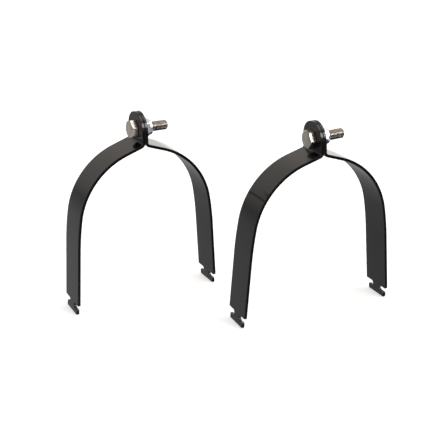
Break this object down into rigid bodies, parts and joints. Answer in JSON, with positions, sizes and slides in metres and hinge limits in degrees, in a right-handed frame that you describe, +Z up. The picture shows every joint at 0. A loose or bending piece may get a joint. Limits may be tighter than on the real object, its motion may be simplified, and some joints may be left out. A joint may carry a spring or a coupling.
{
  "type": "strap clamp pair",
  "caption": "Pair of arched black strap clamps: mirrored flat-bar halves with T-hook feet, joined at round ears by a hex bolt and lock nut.",
  "frame": {"origin": "on the floor that the feet stand on, below the centre of the pair's bounding box", "axes": "+Z up; +X along the bolt of clamp a, from its head to the free end of its thread; +Y across the strap, away from the side the clamps are seen from. Clamp b is turned by -4.7 degrees about +Z, and the clamps lean by about 1 degree, a towards -Y and b towards +Y. The ears and bolt of clamp b also lean by about 3.5 degrees towards its head"},
  "size_m": [0.3046, 0.1547, 0.2012],
  "materials": {
    "black_paint": "smooth semi-gloss black powder coat on steel flat bar",
    "plain_steel": "dull plain steel, warm grey",
    "zinc_plate": "bright zinc plate, bluish white",
    "nylon": "white nylon ring"
  },
  "bodies": {
    "clamp_a_right": {"strap_right_a": "black_paint"},
    "clamp_a_left": {"strap_left_a": "black_paint"},
    "bolt_a": {"bolt_a": "plain_steel"},
    "nylon_ring_a": {"nylon_ring_a": "nylon"},
    "lock_nut_a": {"lock_nut_a": "zinc_plate"},
    "clamp_b_left": {"strap_left_b": "black_paint"},
    "clamp_b_right": {"strap_right_b": "black_paint"},
    "bolt_b": {"bolt_b": "plain_steel"},
    "nylon_ring_b": {"nylon_ring_b": "nylon"},
    "lock_nut_b": {"lock_nut_b": "zinc_plate"}
  },
  "joints": [
    {"name": "swing_a", "type": "hinge", "parent": "clamp_a_right", "child": "clamp_a_left", "pos_m": [-0.072, 0.05712, 0.18371], "axis": [1, 0, 0], "continuous": true},
    {"name": "bolt_turn_a", "type": "hinge", "parent": "clamp_a_right", "child": "bolt_a", "pos_m": [-0.072, 0.05712, 0.18371], "axis": [1, 0, 0], "continuous": true},
    {"name": "nut_travel_a", "type": "slide", "parent": "bolt_a", "child": "nylon_ring_a", "axis": [1, 0, 0], "range_m": [0, 0.0151]},
    {"name": "nut_turn_a", "type": "hinge", "parent": "nylon_ring_a", "child": "lock_nut_a", "pos_m": [-0.072, 0.05712, 0.18371], "axis": [1, 0, 0], "range_deg": [0, 3600]},
    {"name": "pair_spacing", "type": "slide", "parent": "clamp_a_right", "child": "clamp_b_left", "axis": [0, -1, 0], "range_m": [0, 0.15]},
    {"name": "swing_b", "type": "hinge", "parent": "clamp_b_left", "child": "clamp_b_right", "pos_m": [0.06633, -0.05011, 0.18155], "axis": [0.995, -0.0808, 0.0592], "continuous": true},
    {"name": "bolt_turn_b", "type": "hinge", "parent": "clamp_b_left", "child": "bolt_b", "pos_m": [0.06633, -0.05011, 0.18155], "axis": [0.995, -0.0808, 0.0592], "continuous": true},
    {"name": "nut_travel_b", "type": "slide", "parent": "bolt_b", "child": "nylon_ring_b", "axis": [0.995, -0.0808, 0.0592], "range_m": [0, 0.0151]},
    {"name": "nut_turn_b", "type": "hinge", "parent": "nylon_ring_b", "child": "lock_nut_b", "pos_m": [0.06633, -0.05011, 0.18155], "axis": [0.995, -0.0808, 0.0592], "range_deg": [0, 3600]}
  ],
  "couplings": [
    {"joint": "nut_travel_a", "follows": "nut_turn_a", "m_per_rad": 0.00023873},
    {"joint": "nut_travel_b", "follows": "nut_turn_b", "m_per_rad": 0.00023873}
  ]
}
